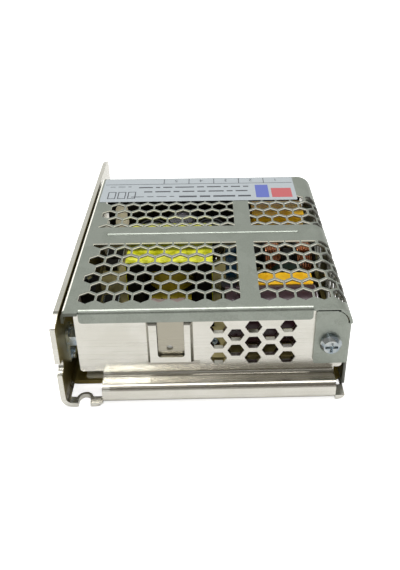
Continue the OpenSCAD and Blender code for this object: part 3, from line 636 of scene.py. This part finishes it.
def makeInductor():
    low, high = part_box("output_inductor")
    centre = (low + high) / 2
    tall = high.z - low.z
    radius = (high.x - low.x) / 2
    hole, rim, flange, lift = [inductor[key] for key in ("hole", "rim", "flange", "lift")]
    waist = radius - inductor["groove"]
    place = Matrix.Translation((centre.x, centre.y, low.z))
    drum = bmesh.new()
    turned(drum, [(hole, tall - 3 * rim), (hole + rim, tall), (radius - rim, tall), (radius, tall - rim),
                  (radius, tall - flange), (waist, tall - flange - rim), (waist, flange + rim),
                  (radius, flange), (radius, lift), (hole, lift), (hole, tall - 3 * rim)], place)
    makePiece(drum, "inductor_drum", "ferrite", stands=["output_inductor"])
    coil = bmesh.new()
    wire = inductor["wire"]
    start = 1.5 * mm
    place = place @ Matrix.Translation((0, 0, start))
    wireCoil(coil, place, radius - inductor["wireInset"] - wire, wire, tall - 2 * start)
    inner, outer = [radius - depth for depth in inductor["bundle"]]
    top = tall - 2 * start - 0.2 * mm
    turned(coil, [(inner, 0.2 * mm), (outer, 0.2 * mm), (outer, top), (inner, top), (inner, 0.2 * mm)], place)
    makePiece(coil, "inductor_wire", "copper_wire")


makeChoke()
makeInductor()
print("windings done")


# pin rail of the transformer, with wire ends wrapped round the pins

pinRail = {
    "pins": 5,
    "pitch": 2.6 * mm,
    "overhang": 0.3 * mm,  # past the last pins
    "thickness": 1.0 * mm,
    "reach": 2.6 * mm,  # in front of the core
    "foot": 1.2 * mm,  # above the board
    "pinRadius": 0.35 * mm,
    "pinTop": 1.3 * mm,  # above the rail
    "wrapWire": 0.12 * mm,
    "wrapLength": 0.9 * mm,
}


def makePinRail():
    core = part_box("transformer_core")
    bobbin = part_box("transformer_bobbin")
    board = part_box("circuit_board")[1].z
    count, pitch, radius = pinRail["pins"], pinRail["pitch"], pinRail["pinRadius"]
    middle = (core[0].x + core[1].x) / 2
    half = pitch * count / 2 + pinRail["overhang"]
    low = bobbin[0].z
    top = low + pinRail["thickness"]
    front = core[0].y - pinRail["reach"]
    rail, pins, ends = bmesh.new(), bmesh.new(), bmesh.new()
    block(rail, (middle - half, front, low + 0.03 * mm), (middle + half, bobbin[0].y - 0.05 * mm, top))
    block(rail, (middle - half, front, board + pinRail["foot"]), (middle + half, core[0].y - 0.25 * mm, low))
    tall = top - board + pinRail["pinTop"]
    wrap = pinRail["wrapWire"]
    for i in range(count):
        x = middle + (i - (count - 1) / 2) * pitch
        place = Matrix.Translation((x, front + 1.0 * mm, board))
        turned(pins, [(0, 0), (radius, 0), (radius, tall - 0.2 * mm), (radius - 0.15 * mm, tall),
                      (0, tall)], place)
        place = place @ Matrix.Translation((0, 0, top - board + 0.05 * mm))
        wireCoil(ends, place, radius + wrap, wrap, pinRail["wrapLength"], 12, 6)
    makePiece(rail, "pin_rail", "amber_tape", bevel=0.12 * mm)
    makePiece(pins, "rail_pins", "plated_metal")
    makePiece(ends, "pin_wires", "amber_tape")


makePinRail()
print("pin rail done")


# resistor with bent leads

resistor = {
    "raised": 0.6 * mm,
    "back": 0.5 * mm,
    "radius": 2.6 * mm,
    "waist": 2.35 * mm,
    "room": 2.4 * mm,  # for both leads
    "lead": 0.4 * mm,  # radius
    "leadReach": 1.0 * mm,
    "leadDrop": 1.2 * mm,  # to where the bend ends
}


def wirePath(name, points, radius, slot):
    curve = bpy.data.curves.new(name, "CURVE")
    curve.dimensions = "3D"
    curve.bevel_depth = radius
    curve.bevel_resolution = 2
    curve.use_fill_caps = True
    line = curve.splines.new("NURBS")
    line.points.add(len(points) - 1)
    for point, place in zip(line.points, points):
        point.co = (*place, 1)
    line.use_endpoint_u = True
    line.order_u = 3
    line.resolution_u = 6
    curve.materials.append(finishes[slot])
    wire = bpy.data.objects.new(name, curve)
    scene.collection.objects.link(wire)
    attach(wire, "case")


def makeResistor():
    low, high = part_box("snubber_resistor")
    centre = (low + high) / 2 + Vector((0, resistor["back"], resistor["raised"]))
    radius, waist = resistor["radius"], resistor["waist"]
    long = high.x - low.x - resistor["room"]
    place = Matrix.Translation((centre.x - long / 2, centre.y, centre.z))
    place = place @ Matrix.Rotation(math.pi / 2, 4, "Y")
    end = [(0, 0), (0.7 * radius, 0.02 * mm), (radius, 0.9 * mm), (radius, 2.4 * mm), (waist, 3.2 * mm)]
    shape = bmesh.new()
    turned(shape, end + [(r, long - along) for r, along in reversed(end)], place)
    makePiece(shape, "resistor_body", "resistor_coat", stands=["snubber_resistor"])
    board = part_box("circuit_board")[1].z
    bend = centre.z - resistor["leadDrop"]
    for side, name in ((-1, "left"), (1, "right")):
        near = centre.x + side * long / 2
        far = near + side * resistor["leadReach"]
        path = [(near, centre.y, centre.z), (far, centre.y, centre.z),
                (far, centre.y, bend), (far, centre.y, board)]
        wirePath("resistor_lead_" + name, path, resistor["lead"], "plated_metal")


# low parts on the board, each with two plated ends, and a wire link

lowParts = {
    # x, y, length, width and height in mm, and whether it lies along X
    "rows": [(-33.0, 11.8, 6.4, 4.2, 2.6, True), (-33.6, 5.6, 5.2, 4.0, 2.4, True),
             (-31.0, -14.2, 5.4, 3.6, 2.5, True), (-26.6, -21.5, 3.4, 2.2, 1.8, False),
             (-30.6, -20.2, 3.2, 1.8, 1.2, False), (-24.0, -33.0, 4.6, 2.6, 2.2, True),
             (-17.0, -33.4, 3.2, 1.7, 1.1, True), (2.6, 8.6, 3.2, 1.7, 1.1, False),
             (21.5, 30.2, 3.2, 1.7, 1.1, True), (12.0, 28.4, 4.8, 2.8, 2.3, True)],
    "capLength": 0.5 * mm,
    "capHeight": 0.96,  # share of the body's height
    "bodyInset": 0.04 * mm,  # the ends are this much wider on each side
    "corner": 0.2 * mm,
    "capCorner": 0.08 * mm,
    # x, y and height above the board in mm
    "link": [(3.6, 5.4, 0), (3.6, 5.4, 2.6), (4.6, 8.0, 2.9), (5.6, 11.4, 2.6), (5.6, 11.4, 0)],
    "linkRadius": 0.4 * mm,
}


def makeLowParts():
    board = Vector((0, 0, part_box("circuit_board")[1].z))
    cap = lowParts["capLength"]
    bodies, caps = bmesh.new(), bmesh.new()
    for x, y, long, wide, tall, alongX in lowParts["rows"]:
        middle = Vector((x, y, 0)) * mm + board
        top = Vector((0, 0, tall)) * mm
        reach, across = Vector((long / 2, 0, 0)) * mm, Vector((0, wide / 2, 0)) * mm
        run, inset = Vector((cap, 0, 0)), Vector((cap, lowParts["bodyInset"], 0))
        if not alongX:
            reach, across, run, inset = reach.yxz, across.yxz, run.yxz, inset.yxz
        half = reach + across - inset
        block(bodies, middle - half, middle + half + top)
        for side in (-1, 1):
            outer = middle + side * reach
            corners = (outer - across, outer - side * run + across + top * lowParts["capHeight"])
            block(caps, [min(pair) for pair in zip(*corners)], [max(pair) for pair in zip(*corners)])
    makePiece(bodies, "low_parts", "black_moulding", bevel=lowParts["corner"])
    makePiece(caps, "low_part_ends", "plated_metal", bevel=lowParts["capCorner"])
    path = [Vector(point) * mm + board for point in lowParts["link"]]
    wirePath("wire_link", path, lowParts["linkRadius"], "plated_metal")


makeResistor()
makeLowParts()
print("low parts done")


# plain print on the label: cells with numbers, rules, an empty table and two soft fields of colour

labelPrint = {
    "height": 0.015 * mm,
    "margin": 0.5 * mm,
    "cellMargin": 0.4 * mm,
    "cells": 5,
    "cellDepth": 4.4 * mm,
    "cellPitch": 9.4 * mm,
    "firstLine": 22.2 * mm,  # from the left end of the label
    "lineWidth": 0.28 * mm,
    "lineGap": 0.02 * mm,
    "numberSize": 2.6 * mm,
    "numberRise": 3.3 * mm,
    # rows of short rules in mm: distance from the front edge, thickness, start, end and the rule lengths
    "rules": [(9.9, 0.75, 13.2, 54.0, (5.2, 1.6, 3.4, 7.0, 2.6)),
              (6.6, 0.80, 15.4, 54.5, (3.0, 5.6, 2.2, 4.4)),
              (2.7, 1.10, 28.4, 54.5, (6.4, 3.8, 8.0)),
              (3.2, 0.45, 11.0, 26.6, (4.6, 2.4, 3.6)),
              (10.8, 0.35, 2.6, 10.6, (1.8, 2.6, 1.2))],
    "ruleGap": 1.1,
    # empty table in mm: boxes, pitch, left and front edge, width, depth and line
    "table": (3, 3.6, 2.4, 2.2, 2.9, 4.95, 0.35),
    "fields": {"label_red": ((62.2, 1.9), (69.6, 8.6)), "label_blue": ((56.4, 1.9), (61.2, 11.2))},
}


def printFinish(name, dark, light):
    finish = Finish(name)
    speck = finish.noise(3000, 2.0)
    finish.set("baseColor", finish.blend(speck, dark, light))
    finish.set("roughness", finish.ramp(speck, 0.3, 0.7, 0.4, 0.55))
    finishes[name] = finish.material


def flatStrip(shape, x0, y0, x1, y1, unit=1.0):  # from the front left corner of the label
    low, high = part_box("label")
    low = Vector((low.x, low.y, high.z))
    block(shape, low + Vector((x0, y0, 0)) * unit,
          low + Vector((x1 * unit, y1 * unit, labelPrint["height"])))


def makeRules(ink):
    for front, thick, start, end, lengths in labelPrint["rules"]:
        x, i = start, 0
        while x < end:
            run = min(lengths[i % len(lengths)], end - x)
            flatStrip(ink, x, front, x + run, front + thick, mm)
            x, i = x + run + labelPrint["ruleGap"], i + 1


def makeTable(ink):
    boxes, pitch, left, front, wide, deep, line = labelPrint["table"]
    near = line + labelPrint["lineGap"] / mm
    sides = ((0, 0, wide, line), (0, deep - line, wide, deep),
             (0, near, line, deep - near), (wide - line, near, wide, deep - near))
    for i in range(boxes):
        x = left + i * pitch
        for a, b, c, d in sides:
            flatStrip(ink, x + a, front + b, x + c, front + d, mm)


def makeCells(ink):
    low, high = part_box("label")
    wide, deep = high.x - low.x, high.y - low.y
    line, margin = labelPrint["lineWidth"], labelPrint["margin"]
    row = deep - labelPrint["cellDepth"]
    flatStrip(ink, margin, row, wide - margin, row + line)
    for i in range(labelPrint["cells"]):
        x = labelPrint["firstLine"] + i * labelPrint["cellPitch"]
        flatStrip(ink, x, row + line + labelPrint["lineGap"], x + line,
                  deep - labelPrint["cellMargin"])
    return row  # front edge of the cells


def makeNumbers(row):
    low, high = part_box("label")
    numbers = bmesh.new()
    for i in range(labelPrint["cells"]):
        middle = labelPrint["firstLine"] + (i + 0.5) * labelPrint["cellPitch"]
        text = bpy.data.curves.new("number", "FONT")
        text.body = str(labelPrint["cells"] - i)
        text.size = labelPrint["numberSize"]
        text.align_x = "CENTER"
        text.resolution_u = 3
        holder = bpy.data.objects.new("number", text)
        flat = bpy.data.meshes.new_from_object(holder)
        place = Matrix.Translation((low.x + middle, low.y + row + labelPrint["numberRise"],
                                    high.z + labelPrint["height"]))
        flat.transform(place @ Matrix.Rotation(math.pi, 4, "Z"))  # read from the terminal end
        numbers.from_mesh(flat)
        bpy.data.objects.remove(holder)
        bpy.data.meshes.remove(flat)
    makePiece(numbers, "label_numbers", "label_film", finish="label_ink")


def makeLabelPrint():
    ink = bmesh.new()
    row = makeCells(ink)
    makeRules(ink)
    makeTable(ink)
    makePiece(ink, "label_rules", "label_film", finish="label_ink")
    for name, ((x0, y0), (x1, y1)) in labelPrint["fields"].items():
        field = bmesh.new()
        flatStrip(field, x0, y0, x1, y1, mm)
        makePiece(field, name + "_field", "label_film", finish=name)
    makeNumbers(row)


printFinish("label_ink", (0.045, 0.05, 0.06), (0.08, 0.085, 0.10))
printFinish("label_red", (0.46, 0.09, 0.10), (0.56, 0.13, 0.14))
printFinish("label_blue", (0.09, 0.12, 0.42), (0.13, 0.17, 0.52))
makeLabelPrint()
print("label print done")


# pale floor

def floorFinish():
    finish = Finish("floor_finish", roughness=0.6)
    cloud = finish.noise(6, 2.0)
    finish.set("baseColor", finish.blend(cloud, (0.90, 0.90, 0.90), (0.94, 0.94, 0.94)))
    finish.set("emissionColor", (1.0, 1.0, 1.0))
    seen = finish.node("LightPath").outputs["Is Camera Ray"]  # metal doesn't mirror the glow
    finish.set("emissionStrength", finish.times(seen, studio["floorGlow"]))
    return finish.material


def makeFloor():
    shape = bmesh.new()
    bmesh.ops.create_grid(shape, x_segments=1, y_segments=1, size=studio["floorSize"] / 2)
    bmesh.ops.translate(shape, verts=shape.verts, vec=(0, 0, -studio["floorDrop"]))
    mesh = bpy.data.meshes.new("floor")
    shape.to_mesh(mesh)
    shape.free()
    mesh.materials.append(floorFinish())
    floor = bpy.data.objects.new("floor", mesh)
    scene.collection.objects.link(floor)


makeFloor()
